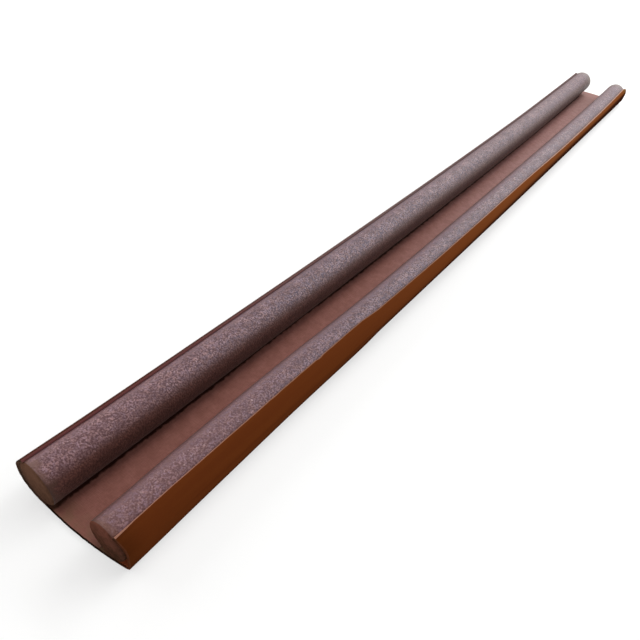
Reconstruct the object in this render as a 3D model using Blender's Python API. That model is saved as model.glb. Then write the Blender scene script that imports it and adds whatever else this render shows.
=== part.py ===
"""Twin-roll draught excluder: two foam rods lying in a trough of one sheet of coated cloth.

It lies on the floor as it does before a door is set down into the slot between the rods.
X runs along the length, +Y towards the left rod, +Z up; the origin is the middle of the underside.
Each object is one piece of the real thing, and each is lofted through cross-sections along X.
"""

import math
from collections import namedtuple

import bmesh
import bpy
import numpy as np

# Driving sizes, in metres.
SHEET_LENGTH = 0.947  # from its nearest point to its farthest
SHEET_THICKNESS = 0.0011
LEFT_LENGTH = 0.929
LEFT_RADIUS = 0.0139
RIGHT_LENGTH = 0.936
RIGHT_RADIUS = 0.0127
FIT_GAP = 0.0004  # between the foam and the cloth that holds it
FLOOR_RISE = 0.00008  # the cloth bears on the floor at its four corners, and the rest lies this far up
LEFT_SETBACK = 0.0005  # from the sheet's nearest point to the near end of each rod
RIGHT_SETBACK = 0.0037
RIM_ROUNDING = 0.0008  # the soft arris of a cut foam end

# The sheet's short edges are cut askew, each in a curve: the near one is set back at the right-hand
# corner and the far one at the left-hand corner. Each curve starts at one y and is measured at another.
NEAR_EDGE_FALL = 0.0051
NEAR_EDGE_START_Y = 0.014
NEAR_EDGE_CORNER_Y = -0.0365
FAR_EDGE_FALL = 0.0180
FAR_EDGE_START_Y = -0.030
FAR_EDGE_CORNER_Y = 0.043

# How finely the shapes are divided.
SHEET_STEPS = 32
ROD_STEPS = 24
ROD_SIDES = 36
RIM_STEPS = 2
FOLD_STEPS = 12  # cloth round a rod, from the floor to the rod's outermost side
CLIMB_STEPS = 7  # and from there to the cut edge
BAND_STEPS = 7  # flat cloth between the rods
FOLD_CROWDING = 1.3  # draws the fold's divisions together at the corner
SLOPE_NUDGE = 0.001  # the step that a centre line's slope is taken over
SMOOTH_UP_TO = 40  # degrees between faces, above which an edge is drawn sharp

# How the strip lies, section by section. left_y and right_y are the rods' centre lines.
# left_climb and right_climb are how far the cloth climbs each rod, in degrees above the rod's
# outermost side. left_fold and right_fold say how the cloth turns up from the floor: 2 hugs the
# rod, and a larger number is a squarer fold that stands clear of it.
Section = namedtuple("Section", "x left_y right_y left_climb right_climb left_fold right_fold")
SECTIONS = [
    Section(-0.4735, 0.0260, -0.0234, 56.0, 61.0, 2.1, 14.0),
    Section(-0.4330, 0.0249, -0.0238, 58.0, 63.0, 2.0, 7.0),
    Section(-0.3530, 0.0236, -0.0242, 57.0, 62.0, 2.0, 4.5),
    Section(-0.2650, 0.0223, -0.0256, 56.0, 62.0, 2.2, 3.4),
    Section(-0.2410, 0.0220, -0.0260, 55.0, 56.0, 2.3, 2.5),
    Section(-0.1230, 0.0211, -0.0271, 54.0, 51.5, 2.0, 2.0),
    Section(0.0370, 0.0205, -0.0275, 53.0, 49.0, 2.0, 2.0),
    Section(0.1870, 0.0209, -0.0275, 52.0, 42.0, 2.0, 2.0),
    Section(0.3270, 0.0230, -0.0272, 51.0, 44.0, 2.0, 2.2),
    Section(0.4735, 0.0263, -0.0254, 50.0, 47.0, 2.0, 4.0),
]

FOAM_COLOUR = (0.123, 0.087, 0.085, 1.0)
CLOTH_COLOUR = (0.115, 0.036, 0.012, 1.0)
FOAM_ROUGHNESS = 0.75
CLOTH_ROUGHNESS = 0.45


def table_slopes(xs, values):
    """Slopes at a table's rows for a smooth curve that never swings past its values."""
    steps = np.diff(values) / np.diff(xs)
    before, after = steps[:-1], steps[1:]
    same_way = before * after > 0
    total = np.where(same_way, before + after, 1.0)
    inner = np.where(same_way, 2 * before * after / total, 0.0)
    return np.concatenate([steps[:1], inner, steps[-1:]])


def section_at(x):
    """The table read at any x, on smooth curves through its rows."""
    rows = np.array(SECTIONS)
    xs = rows[:, 0]
    i = int(np.clip(np.searchsorted(xs, x) - 1, 0, len(xs) - 2))
    span = xs[i + 1] - xs[i]
    t = (x - xs[i]) / span
    values = [x]
    for column in rows[:, 1:].T:
        slopes = table_slopes(xs, column)
        here, there = column[i], column[i + 1]
        ease = t * t * (3 - 2 * t)
        bend = t * (1 - t) ** 2 * slopes[i] + t * t * (t - 1) * slopes[i + 1]
        values.append(float(here + (there - here) * ease + bend * span))
    return Section(*values)


def wrap_angles(climb):
    """Angles round a rod from straight down to the cloth's cut edge, 0 at the outermost side."""
    steps = np.linspace(-1.0, 1.0, FOLD_STEPS + 1)
    crowded = np.sign(steps) * np.abs(steps) ** FOLD_CROWDING
    fold = 90.0 * (crowded - 1.0) / 2
    above = np.linspace(0.0, climb, CLIMB_STEPS + 1)[1:]
    return np.radians(np.concatenate([fold, above]))


def wrap_points(centre_y, centre_z, radius, outward, climb, fold):
    """Points of one face of the cloth round a rod, from the floor up to the cut edge, as (y, z)."""
    points = []
    for angle in wrap_angles(climb):
        across, up = math.cos(angle), math.sin(angle)
        reach = radius
        if angle < 0:
            reach = radius / (abs(across) ** fold + abs(up) ** fold) ** (1 / fold)
        points.append((centre_y + outward * reach * across, centre_z + reach * up))
    return points


def cloth_face(section, depth):
    """One face of the cloth across a section, left cut edge to right. depth is 0 on the upper
    face, which holds the rods, and the thickness on the lower face."""
    left_z, left_reach = rod_height(LEFT_RADIUS), LEFT_RADIUS + FIT_GAP + depth
    right_z, right_reach = rod_height(RIGHT_RADIUS), RIGHT_RADIUS + FIT_GAP + depth
    left = wrap_points(section.left_y, left_z, left_reach, 1, section.left_climb, section.left_fold)
    right = wrap_points(section.right_y, right_z, right_reach, -1, section.right_climb, section.right_fold)
    band_y = np.linspace(section.left_y, section.right_y, BAND_STEPS + 1)[1:-1]
    band = [(y, FLOOR_RISE + SHEET_THICKNESS - depth) for y in band_y]
    return left[::-1] + band + right


def lower_face(section, at_an_end):
    """The cloth's lower face across a section. At an end of the sheet it reaches the floor, in one
    point under each rod's centre line."""
    face = cloth_face(section, SHEET_THICKNESS)
    if at_an_end:
        under_left = FOLD_STEPS + CLIMB_STEPS
        under_right = len(face) - 1 - under_left
        for i in (under_left, under_right):
            face[i] = (face[i][0], 0.0)
    return face


def rod_height(radius):
    """Height of a rod's centre line above the floor."""
    return FLOOR_RISE + SHEET_THICKNESS + FIT_GAP + radius


def cut_edges(y):
    """The near and far ends of the sheet along the line at y."""
    towards_right = (y - NEAR_EDGE_START_Y) / (NEAR_EDGE_CORNER_Y - NEAR_EDGE_START_Y)
    towards_left = (y - FAR_EDGE_START_Y) / (FAR_EDGE_CORNER_Y - FAR_EDGE_START_Y)
    near = -SHEET_LENGTH / 2 + NEAR_EDGE_FALL * max(towards_right, 0.0) ** 2
    far = SHEET_LENGTH / 2 - FAR_EDGE_FALL * max(towards_left, 0.0) ** 2
    return near, far


def loft(name, rings, cap):
    """A closed object through rings of equal counts, with cap(ring) giving each end's faces."""
    mesh = bpy.data.meshes.new(name)
    bm = bmesh.new()
    made = [[bm.verts.new(point) for point in ring] for ring in rings]
    for ring, following in zip(made, made[1:]):
        for i in range(len(ring)):
            j = (i + 1) % len(ring)
            bm.faces.new((ring[i], ring[j], following[j], following[i]))
    for end in (made[0], made[-1]):
        for face in cap(end):
            bm.faces.new(face)
    bmesh.ops.recalc_face_normals(bm, faces=bm.faces)
    bm.to_mesh(mesh)
    bm.free()
    mesh.shade_smooth()
    mesh.set_sharp_from_angle(angle=math.radians(SMOOTH_UP_TO))
    obj = bpy.data.objects.new(name, mesh)
    bpy.context.scene.collection.objects.link(obj)
    return obj


def ladder(ring):
    """End faces of the sheet: a row of quads between its upper and lower faces."""
    half = len(ring) // 2
    upper, lower = ring[:half], ring[:half - 1:-1]
    return [(upper[i], upper[i + 1], lower[i + 1], lower[i]) for i in range(half - 1)]


def make_sheet():
    rings = []
    for step in range(SHEET_STEPS + 1):
        along = step / SHEET_STEPS
        section = section_at(SHEET_LENGTH * (along - 0.5))
        lower = lower_face(section, at_an_end=step in (0, SHEET_STEPS))
        outline = cloth_face(section, 0.0) + lower[::-1]
        ring = []
        for y, z in outline:
            near, far = cut_edges(y)
            ring.append((near + (far - near) * along, y, z))
        rings.append(ring)
    return loft("sheet", rings, ladder)


def rod_stations(length):
    """Distances from a rod's near end, each with how far its skin is drawn in there."""
    rim = []
    for step in range(RIM_STEPS + 1):
        turn = math.radians(90 * step / RIM_STEPS)
        rim.append((RIM_ROUNDING * (1 - math.cos(turn)), RIM_ROUNDING * (1 - math.sin(turn))))
    body = np.linspace(RIM_ROUNDING, length - RIM_ROUNDING, ROD_STEPS + 1)[1:-1]
    far_rim = [(length - distance, drawn_in) for distance, drawn_in in reversed(rim)]
    return rim + [(distance, 0.0) for distance in body] + far_rim


def rod_line(x, side):
    """Where a rod's centre line runs at x, as y and its slope. side is the table's column."""
    before, here, after = (getattr(section_at(x + nudge), side) for nudge in (-SLOPE_NUDGE, 0, SLOPE_NUDGE))
    return here, (after - before) / (2 * SLOPE_NUDGE)


def make_rod(name, side, length, radius, setback):
    """A round foam bar that follows its centre line, with its ends cut square."""
    height = rod_height(radius)
    rings = []
    for distance, drawn_in in rod_stations(length):
        x = setback - SHEET_LENGTH / 2 + distance
        y, slope = rod_line(x, side)
        square = 1 / math.hypot(1, slope)
        ring = []
        for step in range(ROD_SIDES):
            angle = 2 * math.pi * step / ROD_SIDES
            across = (radius - drawn_in) * math.cos(angle)
            up = (radius - drawn_in) * math.sin(angle)
            ring.append((x - across * slope * square, y + across * square, height + up))
        rings.append(ring)
    return loft(name, rings, lambda ring: [ring])


def finish(obj, colour, roughness):
    """Gives the piece its own material."""
    material = bpy.data.materials.new(obj.name)
    material.use_nodes = True
    shader = material.node_tree.nodes["Principled BSDF"]
    shader.inputs["Base Color"].default_value = colour
    shader.inputs["Roughness"].default_value = roughness
    shader.inputs["Metallic"].default_value = 0.0
    obj.data.materials.append(material)


def main():
    for obj in list(bpy.data.objects):
        bpy.data.objects.remove(obj, do_unlink=True)
    finish(make_sheet(), CLOTH_COLOUR, CLOTH_ROUGHNESS)
    left = make_rod("rod_left", "left_y", LEFT_LENGTH, LEFT_RADIUS, LEFT_SETBACK)
    right = make_rod("rod_right", "right_y", RIGHT_LENGTH, RIGHT_RADIUS, RIGHT_SETBACK)
    finish(left, FOAM_COLOUR, FOAM_ROUGHNESS)
    finish(right, FOAM_COLOUR, FOAM_ROUGHNESS)


main()
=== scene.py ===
import math
from collections import namedtuple

import bmesh
import bpy
import numpy as np
from mathutils import Matrix, Vector, noise


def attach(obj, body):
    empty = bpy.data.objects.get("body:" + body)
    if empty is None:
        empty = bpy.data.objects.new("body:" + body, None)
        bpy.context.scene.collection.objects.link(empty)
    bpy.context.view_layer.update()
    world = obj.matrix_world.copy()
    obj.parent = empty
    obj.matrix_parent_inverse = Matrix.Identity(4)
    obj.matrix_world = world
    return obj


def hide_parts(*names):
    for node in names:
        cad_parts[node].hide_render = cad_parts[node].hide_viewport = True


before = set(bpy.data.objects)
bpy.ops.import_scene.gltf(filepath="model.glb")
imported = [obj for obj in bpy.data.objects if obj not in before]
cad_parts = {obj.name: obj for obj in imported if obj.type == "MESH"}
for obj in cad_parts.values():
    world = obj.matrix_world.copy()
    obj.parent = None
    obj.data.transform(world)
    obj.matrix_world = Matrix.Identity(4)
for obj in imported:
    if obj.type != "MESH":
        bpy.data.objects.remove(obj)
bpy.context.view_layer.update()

# ---------------------------------------------------------------- sizes, in metres, as in the solids
SHEET_LENGTH = 0.947  # from its nearest point to its farthest
SHEET_THICKNESS = 0.0011
LEFT_LENGTH = 0.929
LEFT_RADIUS = 0.0139
RIGHT_LENGTH = 0.936
RIGHT_RADIUS = 0.0127
FIT_GAP = 0.0004  # between the foam and the cloth that holds it
FLOOR_RISE = 0.00008  # how far above the floor the cloth's underside lies
LEFT_SETBACK = 0.0005  # from the sheet's nearest point to the near end of each rod
RIGHT_SETBACK = 0.0037

# each cut end of the sheet falls back along a curve that starts at one y and reaches its full fall at another
NEAR_EDGE_FALL = 0.0051
NEAR_EDGE_START_Y = 0.014
NEAR_EDGE_CORNER_Y = -0.0365
FAR_EDGE_FALL = 0.0180
FAR_EDGE_START_Y = -0.030
FAR_EDGE_CORNER_Y = 0.043

# the rods' centre lines, how far up each rod its flap goes in degrees, and how square the cloth turns below
Section = namedtuple("Section", "x left_y right_y left_climb right_climb left_fold right_fold")
SECTIONS = [
    Section(-0.4735, 0.0260, -0.0234, 56.0, 61.0, 2.1, 14.0),
    Section(-0.4330, 0.0249, -0.0238, 58.0, 63.0, 2.0, 7.0),
    Section(-0.3530, 0.0236, -0.0242, 57.0, 62.0, 2.0, 4.5),
    Section(-0.2650, 0.0223, -0.0256, 56.0, 62.0, 2.2, 3.4),
    Section(-0.2410, 0.0220, -0.0260, 55.0, 56.0, 2.3, 2.5),
    Section(-0.1230, 0.0211, -0.0271, 54.0, 51.5, 2.0, 2.0),
    Section(0.0370, 0.0205, -0.0275, 53.0, 49.0, 2.0, 2.0),
    Section(0.1870, 0.0209, -0.0275, 52.0, 42.0, 2.0, 2.0),
    Section(0.3270, 0.0230, -0.0272, 51.0, 44.0, 2.0, 2.2),
    Section(0.4735, 0.0263, -0.0254, 50.0, 47.0, 2.0, 4.0),
]

# ---------------------------------------------------------------- how finely the pieces are made
SHEET_RINGS = 360
FOLD_STEPS = 26  # cloth round a rod, from the floor to the rod's outermost side
CLIMB_STEPS = 14  # and from there to the cut edge
BAND_STEPS = 24  # flat cloth between the rods
FOLD_CROWDING = 1.3  # draws the fold's divisions together at the corner
CUT_STEPS = (-0.92, -0.7, 0.0, 0.7, 0.92)  # across the cloth's thickness, over a cut edge
ARRIS_TURNS = (0.0, 30.0, 60.0, 90.0)  # degrees round the arris of a cut end
ROD_RINGS = 820
ROD_SIDES = 84
RIM_STEPS = 4
END_RINGS = 7  # from the rim of a cut foam end to its middle
SMOOTH_UP_TO = 50  # degrees between faces, above which an edge is drawn sharp

# ---------------------------------------------------------------- cloth detail that the solids leave out
CUT_ARRIS = 0.00025  # rounding of the cloth's cut edges
HUG = 0.00028  # the flaps' tops lean in by this much, so no wide groove shows along the rods
DARK_END = 0.0007  # how far the near end's raw edge, dark with painted shade, runs on to the faces
PALE_EDGE = (0.012, 0.026)  # the strip of raw-edge colour beside a flap's cut edge, pale and partly a painted highlight on the right flap, as a share of its climb
PALE_X = (-0.469, -0.462, -0.36, 0.05, 0.25)  # where that strip is wider or narrower,
PALE_TIMES = (2.4, 0.4, 1.0, 1.0, 4.0)  # and how many times as wide
TIP_TAPER = 0.013  # how far from the far end the flaps' corners begin to droop
LEFT_DROOP = 17.0  # degrees
RIGHT_DROOP = 13.0
FLUTTER = 0.5  # degrees that the flaps' edges waver up and down
FLUTTER_NOISE = (38.0, 120.0, 0.5)  # scale of the noise, scale of its finer part, share of its finer part
PALE_NOISE = (170.0, 420.0, 0.6)  # the same for that strip's width
KINK_X = -0.312  # a small dip in the right flap's edge
KINK_REACH = 0.0020
KINK_DEPTH = 3.0  # degrees
PUCKER_X, PUCKER_Y = -0.262, 0.011  # a small crease in the band, beside the left rod
PUCKER_HEIGHT = 0.0006
PUCKER_WIDTH, PUCKER_LENGTH = 0.003, 0.004
PUCKER_SLANT = 0.35
PUCKER_TOP, PUCKER_FADE = 0.004, 0.002  # only cloth lower than this is pushed up, fading in over this much

# ---------------------------------------------------------------- foam detail
RIM_ROUNDING = 0.0013
PITTING = 0.00007  # how deep the skin's coarse grain goes, and its fine grain
FINE_PITTING = 0.00006
GRAIN_SCALE, FINE_GRAIN_SCALE = 130.0, 420.0
CUT_ROUGHNESS = 0.00015  # how uneven a cut end is
CUT_GRAIN_SCALE = 300.0

# ---------------------------------------------------------------- materials' places in each piece
INNER, OUTER, CUT_EDGE, NEAR_END = range(4)
SKIN, CUT_FOAM = range(2)


def wobble(x, y=0.0, z=0.0):
    """Smooth noise from about -1 to 1."""
    return noise.noise(Vector((x, y, z)))


def waver(x, seed, scale, fine_scale, fine_share):
    """Smooth noise along the strip, with a finer part added to it."""
    return np.array([wobble(p * scale, seed) + fine_share * wobble(p * fine_scale, seed + 4.0) for p in x])


# ---------------------------------------------------------------- the strip's run, as in the solids
def table_slopes(xs, values):
    """The slope at each row of a table, flat at its peaks, so the curve never overshoots."""
    steps = np.diff(values) / np.diff(xs)
    before, after = steps[:-1], steps[1:]
    same_way = before * after > 0
    total = np.where(same_way, before + after, 1.0)
    inner = np.where(same_way, 2 * before * after / total, 0.0)
    return np.concatenate([steps[:1], inner, steps[-1:]])


def sections_at(x):
    """The table read at an array of x, as a Section of arrays."""
    rows = np.array(SECTIONS)
    xs = rows[:, 0]
    i = np.clip(np.searchsorted(xs, x) - 1, 0, len(xs) - 2)
    span = xs[i + 1] - xs[i]
    t = (x - xs[i]) / span
    values = [x]
    for column in rows[:, 1:].T:
        slopes = table_slopes(xs, column)
        ease = t * t * (3 - 2 * t)
        bend = t * (1 - t) ** 2 * slopes[i] + t * t * (t - 1) * slopes[i + 1]
        values.append(column[i] + (column[i + 1] - column[i]) * ease + bend * span)
    return Section(*values)


def rod_height(radius):
    """How high the centre line of a rod of this radius lies."""
    return FLOOR_RISE + SHEET_THICKNESS + FIT_GAP + radius


def cut_edges(y):
    """The x of the sheet's near and far cut ends at each y."""
    towards_right = (y - NEAR_EDGE_START_Y) / (NEAR_EDGE_CORNER_Y - NEAR_EDGE_START_Y)
    towards_left = (y - FAR_EDGE_START_Y) / (FAR_EDGE_CORNER_Y - FAR_EDGE_START_Y)
    near = -SHEET_LENGTH / 2 + NEAR_EDGE_FALL * np.maximum(towards_right, 0.0) ** 2
    far = SHEET_LENGTH / 2 - FAR_EDGE_FALL * np.maximum(towards_left, 0.0) ** 2
    return near, far


# ---------------------------------------------------------------- node helpers
# the rods' centre lines as parabolas, near enough to shade the creases beside them
LEFT_LINE, LEFT_BOW = 0.0205, 0.0207
RIGHT_LINE, RIGHT_BOW, RIGHT_BOW_X = 0.0275, -0.0134, 0.08
SMOOTH_CELLS = 0.35


class Nodes:
    """A material's node tree, with short ways to add what the materials below need."""

    def __init__(self, name):
        self.material = bpy.data.materials.new(name)
        self.material.use_nodes = True
        self.tree = self.material.node_tree
        self.shader = self.tree.nodes["Principled BSDF"]
        coordinates = self.tree.nodes.new("ShaderNodeTexCoord")
        self.place = coordinates.outputs["Object"]
        self.normal = coordinates.outputs["Normal"]

    def link(self, value, socket):
        """Feeds a socket from another one, or with a constant. None leaves it as it is."""
        if isinstance(value, bpy.types.NodeSocket):
            self.tree.links.new(value, socket)
        elif value is not None:
            socket.default_value = value

    def constants(self, **values):
        for name, value in values.items():
            self.shader.inputs[name.replace("_", " ")].default_value = value

    def stretched(self, scale):
        node = self.tree.nodes.new("ShaderNodeVectorMath")
        node.operation = "MULTIPLY"
        self.link(self.place, node.inputs[0])
        node.inputs[1].default_value = scale
        return node.outputs[0]

    def noise(self, scale, detail=2.0, roughness=0.5, place=None):
        node = self.tree.nodes.new("ShaderNodeTexNoise")
        self.link(place or self.place, node.inputs["Vector"])
        node.inputs["Scale"].default_value = scale
        node.inputs["Detail"].default_value = detail
        node.inputs["Roughness"].default_value = roughness
        return node.outputs["Fac"]

    def cells(self, scale):
        node = self.tree.nodes.new("ShaderNodeTexVoronoi")
        node.feature = "SMOOTH_F1"
        node.inputs["Smoothness"].default_value = SMOOTH_CELLS
        self.link(self.place, node.inputs["Vector"])
        node.inputs["Scale"].default_value = scale
        return node.outputs["Distance"]

    def axis(self, name, vector=None):
        node = self.tree.nodes.new("ShaderNodeSeparateXYZ")
        self.link(vector or self.place, node.inputs[0])
        return node.outputs[name]

    def from_rods(self):
        """How far in from each rod's centre line, as two sockets."""
        x, y = self.axis("X"), self.axis("Y")
        left = self.math("MULTIPLY", self.math("MULTIPLY", x, x), LEFT_BOW)
        shifted = self.math("SUBTRACT", x, RIGHT_BOW_X)
        right = self.math("MULTIPLY", self.math("MULTIPLY", shifted, shifted), RIGHT_BOW)
        from_left = self.math("SUBTRACT", self.math("ADD", left, LEFT_LINE), y)
        from_right = self.math("ADD", self.math("ADD", right, RIGHT_LINE), y)
        return from_left, from_right

    def remap(self, value, low, high, to_low=0.0, to_high=1.0, smooth=True):
        node = self.tree.nodes.new("ShaderNodeMapRange")
        node.interpolation_type = "SMOOTHSTEP" if smooth else "LINEAR"
        self.link(value, node.inputs["Value"])
        limits = {"From Min": low, "From Max": high, "To Min": to_low, "To Max": to_high}
        for socket, number in limits.items():
            node.inputs[socket].default_value = number
        return node.outputs[0]

    def math(self, operation, first, second):
        node = self.tree.nodes.new("ShaderNodeMath")
        node.operation = operation
        self.link(first, node.inputs[0])
        self.link(second, node.inputs[1])
        return node.outputs[0]

    def mix(self, factor, first, second):
        node = self.tree.nodes.new("ShaderNodeMix")
        node.data_type = "RGBA"
        self.link(factor, node.inputs["Factor"])
        self.link(first, node.inputs[6])  # the colour pair of this node's A and B sockets
        self.link(second, node.inputs[7])
        return node.outputs[2]

    def bump(self, height, distance, strength=1.0, normal=None):
        node = self.tree.nodes.new("ShaderNodeBump")
        node.inputs["Strength"].default_value = strength
        node.inputs["Distance"].default_value = distance
        self.link(height, node.inputs["Height"])
        self.link(normal, node.inputs["Normal"])
        return node.outputs[0]


def rgb(red, green, blue):
    """A colour given in sRGB, 0 to 255, as the linear colour that shaders take."""
    channels = []
    for value in (red, green, blue):
        c = value / 255
        channels.append(c / 12.92 if c <= 0.04045 else ((c + 0.055) / 1.055) ** 2.4)
    return (*channels, 1.0)


Tones = namedtuple("Tones", "dark_warm dark_light grain_warm grain_cool far_cool plain face face_low")
LEFT_TONES = Tones(
    dark_warm=rgb(84, 54, 57),
    dark_light=rgb(92, 61, 64),
    grain_warm=rgb(152, 115, 114),
    grain_cool=rgb(138, 108, 117),
    far_cool=rgb(127, 104, 108),
    plain=rgb(105, 74, 67),
    face=rgb(110, 78, 62),
    face_low=rgb(76, 53, 41),
)
RIGHT_TONES = Tones(
    dark_warm=rgb(91, 60, 61),
    dark_light=rgb(98, 67, 68),
    grain_warm=rgb(140, 105, 105),
    grain_cool=rgb(127, 99, 111),
    far_cool=rgb(137, 119, 127),
    plain=rgb(101, 66, 56),
    face=rgb(112, 68, 56),
    face_low=rgb(54, 37, 25),
)


def foam_skin(name, near_x, far_x, tones):
    """Closed-cell foam skin: fine grains; painted light makes the top lighter and greyer, with painted
    glints; brown down the sides, darkened lower down and underneath by painted shade; plain brown by the cut
    end.
    """
    n = Nodes(name)
    fine = n.noise(980.0, 2.0, 0.65)
    cells = n.cells(860.0)
    cluster = n.noise(190.0, 3.0, 0.6)
    broad = n.noise(14.0, 2.0, 0.5)
    hue = n.remap(n.noise(430.0, 2.0, 0.6), 0.35, 0.65)
    grain = n.math("ADD", n.remap(fine, 0.25, 0.75), n.remap(cells, 0.15, 0.75, 0.7, 0.0))
    speckle = n.remap(grain, 0.3, 1.3)
    speckle = n.math("MULTIPLY", speckle, n.remap(cluster, 0.3, 0.7, 0.40, 1.05))
    speckle = n.math("MULTIPLY", speckle, n.remap(n.noise(48.0, 4.0, 0.6), 0.35, 0.65, 0.84, 1.13))
    side = n.axis("Y", n.normal)
    calm = n.remap(side, 0.12, 0.45, 0.0, 0.6)
    calmed = n.math("MULTIPLY", speckle, n.math("SUBTRACT", 1.0, calm))
    speckle = n.math("ADD", calmed, n.math("MULTIPLY", calm, 0.42))
    # painted glints: sparse bright specks, used on the top only
    glint = n.remap(n.noise(760.0, 1.0, 0.4), 0.66, 0.74, 0.0, 0.55)
    # painted light and shade, by which way the skin faces: lighter and greyer on top, darker down the sides,
    # darkest underneath
    up = n.axis("Z", n.normal)
    top = n.remap(up, 0.55, 0.96)
    under = n.remap(up, -0.55, -0.15)
    along = n.remap(n.axis("X"), -0.47, -0.22)
    ragged = n.math("ADD", n.axis("X"), n.remap(cluster, 0.2, 0.8, -0.004, 0.004, smooth=False))
    by_end = n.remap(ragged, near_x + 0.0005, near_x + 0.0070, 0.90, 0.0)
    dark_near = n.mix(broad, tones.dark_warm, tones.dark_light)
    dark_cool = n.mix(n.remap(side, 0.0, -0.4), rgb(77, 61, 70), rgb(74, 64, 79))
    dark_far = n.mix(hue, rgb(85, 61, 63), dark_cool)
    dark_top = n.mix(along, dark_near, dark_far)
    light_near = n.mix(hue, tones.grain_warm, tones.grain_cool)
    away = n.remap(n.axis("X"), -0.18, 0.15)
    light_far = n.mix(hue, rgb(147, 119, 121), n.mix(away, rgb(136, 114, 125), tones.far_cool))
    flank = n.remap(up, 0.25, 0.50)
    dark_side = n.mix(under, rgb(42, 16, 10), n.mix(flank, rgb(58, 29, 24), rgb(66, 34, 29)))
    light_side = n.mix(under, rgb(54, 24, 17), n.mix(flank, rgb(80, 47, 40), rgb(91, 55, 48)))
    dark = n.mix(top, dark_side, dark_top)
    light = n.mix(top, light_side, n.mix(along, light_near, light_far))
    light = n.mix(n.math("MULTIPLY", glint, top), light, rgb(188, 162, 164))
    # painted light: the plain brown by the cut end is lighter on top as well
    plain = n.mix(top, rgb(70, 44, 35), tones.plain)
    skin = n.mix(by_end, n.mix(speckle, dark, light), plain)
    by_far_end = n.remap(n.axis("X"), far_x - 0.022, far_x - 0.002, 0.0, 0.45)
    n.link(n.mix(by_far_end, skin, rgb(122, 113, 102)), n.shader.inputs["Base Color"])
    n.link(n.remap(speckle, 0.0, 1.0, 0.55, 0.45), n.shader.inputs["Roughness"])
    n.constants(Specular_IOR_Level=0.24, Sheen_Weight=0.03, Sheen_Roughness=0.5)
    relief = n.bump(grain, 0.0002, 0.5)
    n.link(n.bump(cluster, 0.0005, 0.4, relief), n.shader.inputs["Normal"])
    return n.material


def foam_cut(name, tones, centre_y):
    """The plain matte face of a cut foam end, with its fine closed cells, darker low down and towards its
    right side as painted shade.
    """
    n = Nodes(name)
    cells = n.cells(1500.0)
    patches = n.remap(n.noise(260.0, 3.0, 0.6), 0.25, 0.75, 0.0, 0.35)
    tone = n.math("ADD", patches, n.remap(cells, 0.2, 0.8, 0.2, 0.0))
    # painted shade: darker low down, and towards the face's right side
    tone = n.math("ADD", tone, n.remap(n.axis("Z"), 0.004, 0.026, 0.0, 0.55))
    tone = n.math("SUBTRACT", tone, n.remap(n.axis("Y"), centre_y + 0.002, centre_y - 0.011, 0.0, 0.25))
    n.link(n.mix(tone, tones.face_low, tones.face), n.shader.inputs["Base Color"])
    n.link(n.remap(cells, 0.0, 1.0, 0.95, 0.8), n.shader.inputs["Roughness"])
    n.constants(Specular_IOR_Level=0.0)
    n.link(n.bump(cells, 0.0002, 0.5), n.shader.inputs["Normal"])
    return n.material


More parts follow.
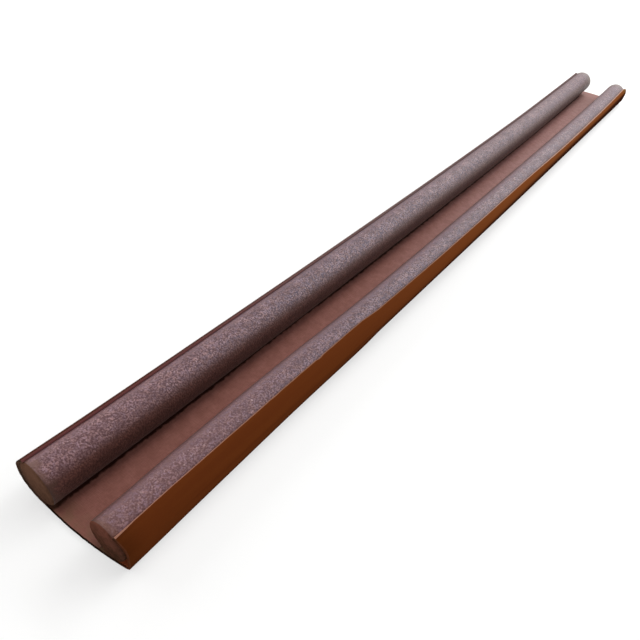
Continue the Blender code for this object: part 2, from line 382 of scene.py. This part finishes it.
def cloth_inner():
    """The matt inner face: a fine close weave, a faint mottle, painted shade in the creases beside the rods,
    and painted light in the shaded corner under the right rod's near end.
    """
    n = Nodes("cloth_inner")
    warp = n.noise(1.0, 2.0, 0.5, n.stretched((260.0, 2600.0, 2600.0)))
    weft = n.noise(1.0, 2.0, 0.5, n.stretched((2600.0, 300.0, 300.0)))
    weave = n.math("ADD", warp, weft)
    mottle = n.noise(150.0, 3.0, 0.6)
    broad = n.noise(22.0, 3.0, 0.55)
    near = n.mix(broad, rgb(141, 91, 81), rgb(152, 100, 89))
    middle = n.mix(broad, rgb(147, 102, 96), rgb(157, 111, 105))
    far = n.mix(broad, rgb(128, 91, 85), rgb(140, 102, 95))
    base = n.mix(n.remap(n.axis("X"), -0.30, 0.20), near, middle)
    base = n.mix(n.remap(n.axis("X"), 0.30, 0.44), base, far)
    base = n.mix(n.remap(mottle, 0.3, 0.7), n.mix(0.5, base, rgb(122, 74, 64)), base)
    base = n.mix(n.remap(weave, 0.6, 1.3), n.mix(0.5, base, rgb(114, 70, 62)), base)
    # painted shade in the creases beside the rods: dark close under a rod, with a ragged edge, narrower by
    # the pucker and gone at the far end
    from_left, from_right = n.from_rods()
    nearest = n.math("MINIMUM", from_left, n.math("ADD", from_right, 0.003))
    ragged = n.remap(n.noise(260.0, 3.0, 0.6), 0.25, 0.75, -0.0009, 0.0009, smooth=False)
    nearest = n.math("ADD", nearest, ragged)
    less = n.remap(n.axis("X"), -0.20, -0.26, 0.0, 0.0007)
    shade_lift_by_pucker = n.math("MULTIPLY", n.remap(n.axis("X"), -0.36, -0.30), less)
    unshaded_far_end = n.remap(n.axis("X"), 0.436, 0.452, 0.0, 0.03)
    nearest = n.math("ADD", n.math("ADD", nearest, shade_lift_by_pucker), unshaded_far_end)
    # painted shade: the dark colour of the creases
    tone = n.mix(n.remap(nearest, 0.0084, 0.0101), rgb(50, 20, 12), base)
    # olive-brown patches darken the cloth towards the near end
    patches = n.remap(mottle, 0.35, 0.65, 0.1, 0.6)
    near_end_patches = n.math("MULTIPLY", n.remap(n.axis("X"), -0.458, -0.470), patches)
    tone = n.mix(near_end_patches, tone, rgb(112, 82, 62))
    by_end = n.remap(n.axis("X"), -0.460, -0.466)
    beneath = n.math("MULTIPLY", n.remap(n.axis("Y"), -0.0165, -0.0195), by_end)
    tone = n.mix(beneath, tone, rgb(104, 74, 52))
    # painted light: a bright orange in the shaded corner under the right rod at the near end
    corner = n.math("MULTIPLY", n.remap(n.axis("Y"), -0.026, -0.032), by_end)
    tone = n.mix(corner, tone, rgb(196, 104, 66))
    by_lip = n.remap(n.axis("X"), -0.468, -0.471)
    left_lip = n.math("MULTIPLY", n.remap(n.axis("Y"), 0.022, 0.030), by_lip)
    n.link(n.mix(left_lip, tone, rgb(118, 90, 74)), n.shader.inputs["Base Color"])
    n.link(n.remap(weave, 0.7, 1.3, 0.6, 0.5), n.shader.inputs["Roughness"])
    n.constants(Specular_IOR_Level=0.12)
    n.link(n.bump(weave, 0.00010, 0.5), n.shader.inputs["Normal"])
    return n.material


def cloth_outer():
    """The smooth coated outer face, faintly grained like leather: painted shade makes it darker below and at
    the near end.
    """
    n = Nodes("cloth_outer")
    grain = n.cells(900.0)
    broad = n.noise(18.0, 3.0, 0.55, n.stretched((0.35, 1.0, 1.0)))
    streak = n.noise(1.0, 2.0, 0.5, n.stretched((12.0, 160.0, 160.0)))
    far = n.remap(n.axis("X"), -0.45, 0.30)
    wall = n.mix(far, n.mix(broad, rgb(88, 42, 17), rgb(95, 46, 19)), rgb(120, 68, 35))
    # painted shade: darker at the near end
    wall = n.mix(n.remap(n.axis("X"), -0.474, -0.452), rgb(70, 33, 12), wall)
    streaked = n.mix(0.5, wall, rgb(112, 60, 25))
    tone = n.mix(n.remap(streak, 0.35, 0.65, 0.0, 0.35), wall, streaked)
    # painted shade: darker where the face turns down, reaching higher on the right flap towards the far end
    up = n.axis("Z", n.normal)
    left = n.remap(n.axis("Y"), -0.004, 0.004)
    shaded = n.math("MULTIPLY", far, n.remap(left, 0.0, 1.0, 0.50, 0.0))
    tone = n.mix(n.remap(n.math("SUBTRACT", up, shaded), -0.38, 0.10), rgb(46, 22, 14), tone)
    # painted highlight: a tan patch where the far tip faces up
    tip_highlight = n.math("MULTIPLY", n.remap(n.axis("X"), 0.452, 0.466), n.remap(up, 0.35, 0.60))
    tone = n.mix(tip_highlight, tone, rgb(104, 82, 46))
    # the left flap's upward face: its own dark red near the near end, turning grey towards the far end as a
    # painted sheen
    left_flap_top = n.math("MULTIPLY", left, n.remap(up, 0.28, 0.46))
    flap_red_and_sheen = n.mix(n.remap(n.axis("X"), -0.44, -0.05), rgb(72, 42, 36), rgb(94, 76, 73))
    n.link(n.mix(left_flap_top, tone, flap_red_and_sheen), n.shader.inputs["Base Color"])
    n.link(n.remap(broad, 0.2, 0.8, 0.55, 0.65), n.shader.inputs["Roughness"])
    n.constants(Specular_IOR_Level=0.0)
    n.link(n.bump(grain, 0.00006, 0.35), n.shader.inputs["Normal"])
    return n.material


def cloth_cut():
    """The raw edge along the flaps: pale on the right one, partly a painted highlight, lightest towards the
    far end; dark red on the left one, greying towards the far end as a painted sheen; darker low down as
    painted shade.
    """
    n = Nodes("cloth_cut")
    fray = n.noise(900.0, 3.0, 0.7)
    pale_near = n.mix(fray, rgb(132, 88, 72), rgb(166, 120, 100))
    pale_middle = n.mix(fray, rgb(112, 72, 52), rgb(148, 106, 82))
    # painted highlight: the pale edge lightest towards the far end
    pale_far = n.mix(fray, rgb(150, 116, 100), rgb(178, 142, 124))
    pale = n.mix(n.remap(n.axis("X"), -0.46, -0.30), pale_near, pale_middle)
    pale = n.mix(n.remap(n.axis("X"), -0.22, 0.02), pale, pale_far)
    red_near = n.mix(fray, rgb(90, 49, 48), rgb(114, 66, 65))
    # painted sheen: the red edge greyer towards the far end
    red_far = n.mix(fray, rgb(102, 81, 80), rgb(118, 95, 93))
    red = n.mix(n.remap(n.axis("X"), -0.44, -0.05), red_near, red_far)
    side = n.mix(n.remap(n.axis("Y"), -0.004, 0.004), pale, red)
    # painted shade: darker low down
    low = n.mix(fray, rgb(52, 32, 22), rgb(84, 54, 42))
    up = n.remap(n.axis("Z"), 0.0035, 0.0100)
    n.link(n.mix(up, low, side), n.shader.inputs["Base Color"])
    n.link(n.remap(fray, 0.0, 1.0, 0.9, 0.75), n.shader.inputs["Roughness"])
    n.constants(Specular_IOR_Level=0.1)
    n.link(n.bump(fray, 0.00012, 0.5), n.shader.inputs["Normal"])
    return n.material


LEFT_AXIS = (0.0260, 0.0155)  # y and z of the left rod's axis at its near end


def cloth_end():
    """The raw edge across the near end of the strip: dark with painted shade across the band and on the left
    flap's outer part, olive-brown on the left flap's inner part and under the right rod but for its lowest
    part, browner up the right flap.
    """
    n = Nodes("cloth_end")
    fray = n.noise(700.0, 3.0, 0.7)
    # painted shade: the near end's raw edge dark
    dark = n.mix(fray, rgb(14, 9, 5), rgb(46, 29, 17))
    from_left = n.math("SUBTRACT", n.axis("Y"), LEFT_AXIS[0])
    height = n.math("SUBTRACT", n.axis("Z"), LEFT_AXIS[1])
    across = n.math("MULTIPLY", from_left, from_left)
    upright = n.math("MULTIPLY", height, height)
    from_axis = n.math("SQRT", n.math("ADD", across, upright), None)
    inner_part = n.mix(fray, rgb(70, 50, 41), rgb(98, 74, 61))
    outer_part = n.mix(fray, rgb(24, 17, 12), rgb(52, 38, 29))
    left_flap = n.mix(n.remap(from_axis, 0.0149, 0.0153), inner_part, outer_part)
    tone = n.mix(n.remap(n.axis("Y"), 0.016, 0.024), dark, left_flap)
    upper = n.remap(n.axis("Z"), 0.0004, 0.0009)
    beneath = n.math("MULTIPLY", n.remap(n.axis("Y"), -0.0165, -0.0195), upper)
    tone = n.mix(beneath, tone, n.mix(fray, rgb(38, 24, 17), rgb(68, 45, 34)))
    by_right_flap = n.remap(n.axis("Y"), -0.029, -0.034)
    right_flap = n.mix(fray, rgb(73, 40, 25), rgb(95, 53, 34))
    n.link(n.mix(by_right_flap, tone, right_flap), n.shader.inputs["Base Color"])
    n.link(n.remap(fray, 0.0, 1.0, 0.95, 0.8), n.shader.inputs["Roughness"])
    n.constants(Specular_IOR_Level=0.0)
    n.link(n.bump(fray, 0.00015, 0.6), n.shader.inputs["Normal"])
    return n.material


# ---------------------------------------------------------------- the cloth
def wrap(centre_y, centre_z, radius, outward, climb, fold, pale, hug):
    """(y, z) arrays, rings by columns, of one face of the cloth from under a rod to the cut edge."""
    steps = np.linspace(-1.0, 1.0, FOLD_STEPS + 1)
    turned = 90.0 * (np.sign(steps) * np.abs(steps) ** FOLD_CROWDING - 1.0) / 2
    folds = np.repeat(turned[None, :], len(climb), axis=0)
    shares = np.repeat(np.linspace(0.0, 1.0, CLIMB_STEPS + 1)[None, 1:-1], len(climb), axis=0)
    shares = np.concatenate([shares, 1 - pale[:, None], np.ones((len(climb), 1))], axis=1)
    above = climb[:, None] * shares
    angle = np.radians(np.concatenate([folds, above], axis=1))
    across, up = np.cos(angle), np.sin(angle)
    power = fold[:, None]
    squared = radius / (np.abs(across) ** power + np.abs(up) ** power) ** (1 / power)
    snug = hug * np.clip(angle / np.radians(climb[:, None]), 0.0, 1.0) ** 3
    reach = np.where(angle < 0, squared, radius - snug)
    return centre_y[:, None] + outward * reach * across, centre_z + reach * up


def cut_edge(centre_y, centre_z, radius, outward, climb, inset):
    """(y, z) arrays over the rounded cut edge at the top of a flap, inner face to outer."""
    angle = np.radians(climb)[:, None]
    s = np.array(CUT_STEPS)[None, :]
    middle = radius + (SHEET_THICKNESS - HUG) / 2
    depth = middle + s * ((SHEET_THICKNESS + HUG) / 2 - inset[:, None])
    proud = CUT_ARRIS * (1 - np.abs(s) ** 4) ** 0.25
    y = centre_y[:, None] + outward * (depth * np.cos(angle) - proud * np.sin(angle))
    return y, centre_z + depth * np.sin(angle) + proud * np.cos(angle)


def sheet_rings():
    """Where each ring lies along the strip, 0 to 1, with how far its arris is drawn in."""
    turns = np.radians(ARRIS_TURNS)
    along = CUT_ARRIS * (1 - np.cos(turns)) / SHEET_LENGTH
    near = list(zip(along, CUT_ARRIS * (1 - np.sin(turns))))
    body = [(a, 0.0) for a in np.linspace(0.0, 1.0, SHEET_RINGS + 1)[1:-1]]
    far = [(1 - a, inset) for a, inset in reversed(near)]
    return near + [(DARK_END / SHEET_LENGTH, 0.0)] + body + far


def flap_climbs(x, section):
    """How far up its rod each flap goes, in degrees: it wavers, and droops at the far tip."""
    droop = np.clip((x - SHEET_LENGTH / 2 + TIP_TAPER) / TIP_TAPER, 0.0, 1.0) ** 1.5
    kink = np.exp(-(((x - KINK_X) / KINK_REACH) ** 2))
    left = section.left_climb + FLUTTER * waver(x, 3.0, *FLUTTER_NOISE) - LEFT_DROOP * droop
    right = section.right_climb + FLUTTER * waver(x, 23.0, *FLUTTER_NOISE) - RIGHT_DROOP * droop
    return left, right - KINK_DEPTH * kink


def pale_share(x):
    """How wide the strip of raw-edge colour beside a flap's cut edge is, as a share of the flap's climb."""
    ragged = 0.5 + 0.5 * np.clip(1.6 * waver(x, 33.0, *PALE_NOISE), -1.0, 1.0)
    narrow, wide = PALE_EDGE
    return (narrow + (wide - narrow) * ragged) * np.interp(x, PALE_X, PALE_TIMES)


def sheet_outline(x, inset):
    """(y, z) arrays, rings by columns, once round the cloth, and how many columns a face and an edge have.

    The columns go over the inner face from the left flap to the right one, over the right cut edge, back
    over the outer face, and over the left cut edge.
    """
    section = sections_at(x)
    left_climb, right_climb = flap_climbs(x, section)
    pale = pale_share(x)
    sides = {
        1: (section.left_y, LEFT_RADIUS, left_climb, section.left_fold),
        -1: (section.right_y, RIGHT_RADIUS, right_climb, section.right_fold),
    }
    t = np.linspace(0.0, 1.0, BAND_STEPS + 1)[None, 1:-1]
    band_y = section.left_y[:, None] * (1 - t) + section.right_y[:, None] * t

    def face(depth, drawn, hug):
        flaps = []
        for outward, (centre_y, rod_radius, climb, fold) in sides.items():
            radius = (rod_radius + FIT_GAP + depth + drawn)[:, None]
            flaps.append(wrap(centre_y, rod_height(rod_radius), radius, outward, climb, fold, pale, hug))
        (left_y, left_z), (right_y, right_z) = flaps
        height = (FLOOR_RISE + SHEET_THICKNESS - depth - drawn)[:, None]
        band_z = np.repeat(height, band_y.shape[1], axis=1)
        return (
            np.concatenate([left_y[:, ::-1], band_y, right_y], axis=1),
            np.concatenate([left_z[:, ::-1], band_z, right_z], axis=1),
        )

    def edge(outward):
        centre_y, rod_radius, climb, _ = sides[outward]
        return cut_edge(centre_y, rod_height(rod_radius), rod_radius + FIT_GAP, outward, climb, inset)

    upper_y, upper_z = face(0.0, inset, HUG)
    lower_y, lower_z = face(SHEET_THICKNESS, -inset, 0.0)
    right_y, right_z = edge(-1)
    left_y, left_z = edge(1)
    y = np.concatenate([upper_y, right_y, lower_y[:, ::-1], left_y[:, ::-1]], axis=1)
    z = np.concatenate([upper_z, right_z, lower_z[:, ::-1], left_z[:, ::-1]], axis=1)
    return y, z, upper_y.shape[1], right_y.shape[1]


Rag = namedtuple("Rag", "depth scale fine_depth fine_scale seed")
NEAR_RAG = Rag(0.00034, 260.0, 0.00020, 900.0, 51.0)
FAR_RAG = Rag(0.00016, 420.0, 0.00010, 1100.0, 61.0)


def frayed(y, rag):
    """How far a cut end of the cloth is frayed back at each y."""

    def at(v):
        fine = rag.fine_depth * wobble(v * rag.fine_scale, rag.seed + 6.0)
        return rag.depth * wobble(v * rag.scale, rag.seed) + fine

    return np.abs(np.vectorize(at)(y))


def pucker(x, y, z):
    """A small crease pushed up in the floor of the trough beside the left rod."""
    low = np.clip((PUCKER_TOP - z) / PUCKER_FADE, 0.0, 1.0)
    along = (x - PUCKER_X) + PUCKER_SLANT * (y - PUCKER_Y)
    ridge = np.exp(-((along / PUCKER_WIDTH) ** 2)) * np.exp(-(((y - PUCKER_Y) / PUCKER_LENGTH) ** 2))
    return low * (PUCKER_HEIGHT * ridge)


def ladder(rings, columns):
    """The quads between rings of points, ring after ring, as rows of four indices."""
    ring, column = np.meshgrid(np.arange(rings - 1), np.arange(columns), indexing="ij")
    following = (column + 1) % columns
    this, beyond = ring * columns, (ring + 1) * columns
    corners = [this + column, this + following, beyond + following, beyond + column]
    return np.stack(corners, axis=2).reshape(-1, 4).tolist()


def side_kinds(rings, columns, per_face, per_edge):
    """The material of each quad along the cloth, in the order of ladder()."""
    kind = np.full(columns, CUT_EDGE)
    kind[: per_face - 1] = INNER
    kind[per_face + per_edge + 1 : 2 * per_face + per_edge - 1] = OUTER
    kinds = np.repeat(kind[None, :], rings - 1, axis=0)
    arris = len(ARRIS_TURNS) - 1
    kinds[: arris + 1, :] = NEAR_END  # as far as DARK_END
    kinds[-arris:, :] = np.where(kinds[-arris:, :] == OUTER, CUT_EDGE, kinds[-arris:, :])
    return kinds.reshape(-1).tolist()


def end_faces(rings, columns, per_face, per_edge):
    """The faces that close both ends of the cloth, with the material of each."""
    upper = np.arange(per_face)
    lower = 2 * per_face + per_edge - 1 - upper
    right_edge = np.arange(per_face - 1, per_face + per_edge + 1)
    left_edge = np.append(np.arange(2 * per_face + per_edge - 1, columns), 0)
    faces, kinds = [], []
    for base, kind, is_far in ((0, NEAR_END, False), ((rings - 1) * columns, CUT_EDGE, True)):
        for i in range(per_face - 1):
            quad = [int(base + v) for v in (upper[i], lower[i], lower[i + 1], upper[i + 1])]
            faces.append(quad[::-1] if is_far else quad)
            kinds.append(kind)
        for edge in (right_edge, left_edge):
            polygon = [int(base + v) for v in edge]
            faces.append(polygon if is_far else polygon[::-1])
            kinds.append(kind)
    return faces, kinds


def finish_mesh(name, points, faces, kinds, materials):
    mesh = bpy.data.meshes.new(name)
    mesh.from_pydata(points, [], faces)
    for material in materials:
        mesh.materials.append(material)
    mesh.polygons.foreach_set("material_index", np.array(kinds, np.int32))
    mesh.shade_smooth()
    mesh.update()
    obj = bpy.data.objects.new(name, mesh)
    bpy.context.scene.collection.objects.link(obj)
    fix_normals(obj)
    return obj


def fix_normals(obj):
    bm = bmesh.new()
    bm.from_mesh(obj.data)
    bmesh.ops.recalc_face_normals(bm, faces=bm.faces)
    bm.to_mesh(obj.data)
    bm.free()
    obj.data.set_sharp_from_angle(angle=math.radians(SMOOTH_UP_TO))


def make_sheet():
    rings = sheet_rings()
    along = np.array([a for a, _ in rings])
    inset = np.array([i for _, i in rings])
    y, z, per_face, per_edge = sheet_outline(SHEET_LENGTH * (along - 0.5), inset)
    near, far = cut_edges(y)
    near += frayed(y, NEAR_RAG)
    far -= frayed(y, FAR_RAG)
    x = near + (far - near) * along[:, None]
    z = z + pucker(x, y, z)
    points = np.stack([x, y, z], axis=2).reshape(-1, 3).tolist()
    counts = (len(rings), y.shape[1], per_face, per_edge)
    closing, closing_kinds = end_faces(*counts)
    faces = ladder(len(rings), y.shape[1]) + closing
    kinds = side_kinds(*counts) + closing_kinds
    materials = (cloth_inner(), cloth_outer(), cloth_cut(), cloth_end())
    return finish_mesh("cloth_trough", points, faces, kinds, materials)


# ---------------------------------------------------------------- the foam rods
Swell = namedtuple("Swell", "x out")
SWELLS = [  # where the right rod swells and thins on its inner side, in metres
    Swell(-0.4735, 0.0),
    Swell(-0.450, 0.00015),
    Swell(-0.435, 0.00055),
    Swell(-0.420, 0.00080),
    Swell(-0.370, 0.00085),
    Swell(-0.325, 0.00070),
    Swell(-0.285, 0.00015),
    Swell(-0.260, -0.00025),
    Swell(-0.225, -0.00050),
    Swell(-0.060, -0.00055),
    Swell(0.150, -0.00065),
    Swell(0.260, -0.00030),
    Swell(0.350, 0.0),
]
SWELL_ANGLE = math.radians(24)  # where round the rod it swells most
SCUFFED_BEYOND = -0.5  # how far out on the right rod its near rim is scuffed, as a cosine
SLOPE_NUDGE = 0.001  # the step that a centre line's slope is taken over

Rod = namedtuple("Rod", "name side length radius setback tones seed")
RODS = (
    Rod("foam_left", "left_y", LEFT_LENGTH, LEFT_RADIUS, LEFT_SETBACK, LEFT_TONES, 11.0),
    Rod("foam_right", "right_y", RIGHT_LENGTH, RIGHT_RADIUS, RIGHT_SETBACK, RIGHT_TONES, 47.0),
)


def rod_stations(length):
    """How far along each ring of a rod lies, and how far the ring is drawn in, as two arrays."""
    turns = np.radians(np.linspace(0, 90, RIM_STEPS + 1))
    near = RIM_ROUNDING * (1 - np.cos(turns))
    drawn_in = RIM_ROUNDING * (1 - np.sin(turns))
    body = np.linspace(RIM_ROUNDING, length - RIM_ROUNDING, ROD_RINGS + 1)[1:-1]
    distance = np.concatenate([near, body, length - near[::-1]])
    return distance, np.concatenate([drawn_in, np.zeros(len(body)), drawn_in[::-1]])


def rod_reach(rod, x, angle, drawn):
    """How far out each point of a rod's rings lies: the skin is pitted, and the right rod uneven."""
    reach = (rod.radius - drawn)[:, None] * np.ones((1, ROD_SIDES))
    for i, px in enumerate(x):
        for j, a in enumerate(angle):
            u, v = rod.radius * math.cos(a), rod.radius * math.sin(a)
            for depth, scale in ((PITTING, GRAIN_SCALE), (FINE_PITTING, FINE_GRAIN_SCALE)):
                grain = wobble(px * scale, u * scale + rod.seed, v * scale)
                reach[i, j] -= depth * (0.5 + 0.5 * grain)
    if rod.side == "right_y":
        out = np.interp(x, [s.x for s in SWELLS], [s.out for s in SWELLS])
        reach += out[:, None] * np.maximum(np.cos(angle - SWELL_ANGLE), 0.0)[None, :] ** 3
    return reach


def rod_points(rod, x, angle, drawn):
    """The points of a rod's rings, square to its centre line, and the y that the line starts at."""
    centre = getattr(sections_at(x), rod.side)
    beyond = getattr(sections_at(x + SLOPE_NUDGE), rod.side)
    before = getattr(sections_at(x - SLOPE_NUDGE), rod.side)
    slope = (beyond - before) / (2 * SLOPE_NUDGE)
    square = 1 / np.hypot(1, slope)
    reach = rod_reach(rod, x, angle, drawn)
    across = reach * np.cos(angle)[None, :]
    up = reach * np.sin(angle)[None, :]
    columns = [
        x[:, None] - across * (slope * square)[:, None],
        centre[:, None] + across * square[:, None],
        rod_height(rod.radius) + up,
    ]
    return np.stack(columns, axis=2), centre[0]


def rod_skin_kinds(rod, angle, count):
    """Skin, but for the near rim and, where the flap stops short, a scuffed strip behind it."""
    kinds = np.full((count, ROD_SIDES), SKIN)
    kinds[: RIM_STEPS - 1] = CUT_FOAM
    if rod.side == "right_y":
        kinds[RIM_STEPS - 1 : RIM_STEPS + 1, np.cos(angle) < SCUFFED_BEYOND] = CUT_FOAM
    return kinds.reshape(-1).tolist()


def close_end(verts, faces, ring, first, inward, seed):
    """Closes one end of a rod with rings that shrink to its middle, slightly uneven."""
    middle = ring.mean(axis=0)
    previous = list(range(first, first + ROD_SIDES))
    for k in range(1, END_RINGS):
        shrink = 1 - k / END_RINGS
        made = []
        for corner in ring:
            p = middle + (corner - middle) * shrink
            rough = 0.5 + 0.5 * wobble(p[1] * CUT_GRAIN_SCALE, p[2] * CUT_GRAIN_SCALE, seed)
            verts.append((p[0] + inward * CUT_ROUGHNESS * rough, p[1], p[2]))
            made.append(len(verts) - 1)
        for j in range(ROD_SIDES):
            following = (j + 1) % ROD_SIDES
            faces.append([previous[j], previous[following], made[following], made[j]])
        previous = made
    faces.append(previous)


def make_rod(rod):
    distance, drawn = rod_stations(rod.length)
    x = rod.setback - SHEET_LENGTH / 2 + distance
    angle = 2 * math.pi * np.arange(ROD_SIDES) / ROD_SIDES
    points, near_y = rod_points(rod, x, angle, drawn)
    last = len(x) - 1
    verts = [tuple(p) for p in points.reshape(-1, 3)]
    faces = ladder(len(x), ROD_SIDES)
    kinds = rod_skin_kinds(rod, angle, last)
    for end, inward in ((0, 1), (last, -1)):
        close_end(verts, faces, points[end], end * ROD_SIDES, inward, rod.seed + end)
    kinds += [CUT_FOAM] * (len(faces) - len(kinds))
    materials = (
        foam_skin(rod.name + "_skin", x[0], x[-1], rod.tones),
        foam_cut(rod.name + "_cut", rod.tones, near_y),
    )
    return finish_mesh(rod.name, verts, faces, kinds, materials)


# ---------------------------------------------------------------- floor, light and camera
FLOOR_HALF = 4.0
FLOOR_STEPS = 8
FLOOR_Z = -0.0002  # a hair below the cloth


def make_floor():
    n = Nodes("floor")
    white = (1.0, 1.0, 1.0, 1.0)
    n.link(n.mix(n.noise(3.0, 2.0), rgb(164, 164, 163), rgb(168, 168, 167)), n.shader.inputs["Base Color"])
    n.constants(Roughness=0.8, Specular_IOR_Level=0.1, Emission_Color=white, Emission_Strength=0.6)
    line = np.linspace(-FLOOR_HALF, FLOOR_HALF, FLOOR_STEPS + 1)
    points = [(px, py, FLOOR_Z) for px in line for py in line]
    row = FLOOR_STEPS + 1
    corners = [i * row + j for i in range(FLOOR_STEPS) for j in range(FLOOR_STEPS)]
    faces = [(c, c + row, c + row + 1, c + 1) for c in corners]
    mesh = bpy.data.meshes.new("floor")
    mesh.from_pydata(points, [], faces)
    mesh.materials.append(n.material)
    obj = bpy.data.objects.new("floor", mesh)
    bpy.context.scene.collection.objects.link(obj)
    return obj


Light = namedtuple("Light", "name place aim size watts")
LIGHTS = (
    Light("overhead", (0.0, 0.0, 1.4), (0.0, 0.0, 0.0), (1.8, 0.4), 4.4),
    Light("overhead_left", (0.0, 0.4, 1.35), (0.0, 0.0, 0.0), (1.8, 0.4), 3.2),
    Light("overhead_far", (1.0, 0.0, 1.2), (0.3, 0.0, 0.0), (0.6, 0.6), 4.5),
    Light("left_wall", (-0.2, 1.6, 0.9), (-0.2, 0.0, 0.0), (2.4, 1.0), 21.5),
    Light("far_wall", (2.2, 0.0, 1.4), (0.3, 0.0, 0.0), (2.0, 0.8), 41.0),
    Light("far_left", (2.0, 1.4, 1.0), (0.2, 0.0, 0.0), (1.2, 1.0), 5.8),
    Light("far_right", (2.0, -1.4, 1.0), (0.2, 0.0, 0.0), (1.2, 1.0), 33.2),
    Light("near_wall", (-2.2, 0.0, 1.0), (-0.2, 0.0, 0.0), (2.0, 1.0), 3.0),
)


def area_light(light):
    data = bpy.data.lights.new(light.name, "AREA")
    data.shape = "RECTANGLE"
    data.size, data.size_y = light.size
    data.energy = light.watts
    obj = bpy.data.objects.new(light.name, data)
    obj.location = light.place
    direction = Vector(light.aim) - Vector(light.place)
    obj.rotation_euler = direction.to_track_quat("-Z", "Y").to_euler()
    obj.visible_camera = False
    bpy.context.scene.collection.objects.link(obj)


def make_lights():
    world = bpy.data.worlds.new("studio")
    world.use_nodes = True
    background = world.node_tree.nodes["Background"]
    background.inputs["Color"].default_value = (1.0, 0.995, 0.99, 1.0)
    background.inputs["Strength"].default_value = 0.2
    bpy.context.scene.world = world
    for light in LIGHTS:
        area_light(light)


CAMERA_PLACE = (-0.5358, -0.1501, 0.2966)
CAMERA_YAW = math.radians(28.6012)  # from +X towards +Y
CAMERA_PITCH = math.radians(42.8206)  # down
CAMERA_ROLL = math.radians(11.7369)
LENS = 32.4346
SENSOR_WIDTH = 36.0


def make_camera():
    yaw, pitch, roll = CAMERA_YAW, CAMERA_PITCH, CAMERA_ROLL
    forward = Vector((math.cos(yaw) * math.cos(pitch), math.sin(yaw) * math.cos(pitch), -math.sin(pitch)))
    level = Vector((math.sin(yaw), -math.cos(yaw), 0.0))
    upright = level.cross(forward)
    right = level * math.cos(roll) + upright * math.sin(roll)
    top = upright * math.cos(roll) - level * math.sin(roll)
    data = bpy.data.cameras.new("camera")
    data.sensor_width = SENSOR_WIDTH
    data.lens = LENS
    data.clip_start, data.clip_end = 0.01, 50.0
    obj = bpy.data.objects.new("camera", data)
    turned = Matrix((right, top, -forward)).transposed()
    obj.matrix_world = Matrix.Translation(CAMERA_PLACE) @ turned.to_4x4()
    bpy.context.scene.collection.objects.link(obj)
    bpy.context.scene.camera = obj


def main():
    floor = make_floor()
    cloth = make_sheet()
    left, right = (make_rod(rod) for rod in RODS)
    for piece, node, slot in (
        (cloth, "sheet", "coated_cloth"),
        (left, "rod_left", "foam"),
        (right, "rod_right", "foam"),
    ):
        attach(piece, "root")
        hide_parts(node)
    make_lights()
    make_camera()
    bpy.context.scene.view_settings.view_transform = "Standard"


main()
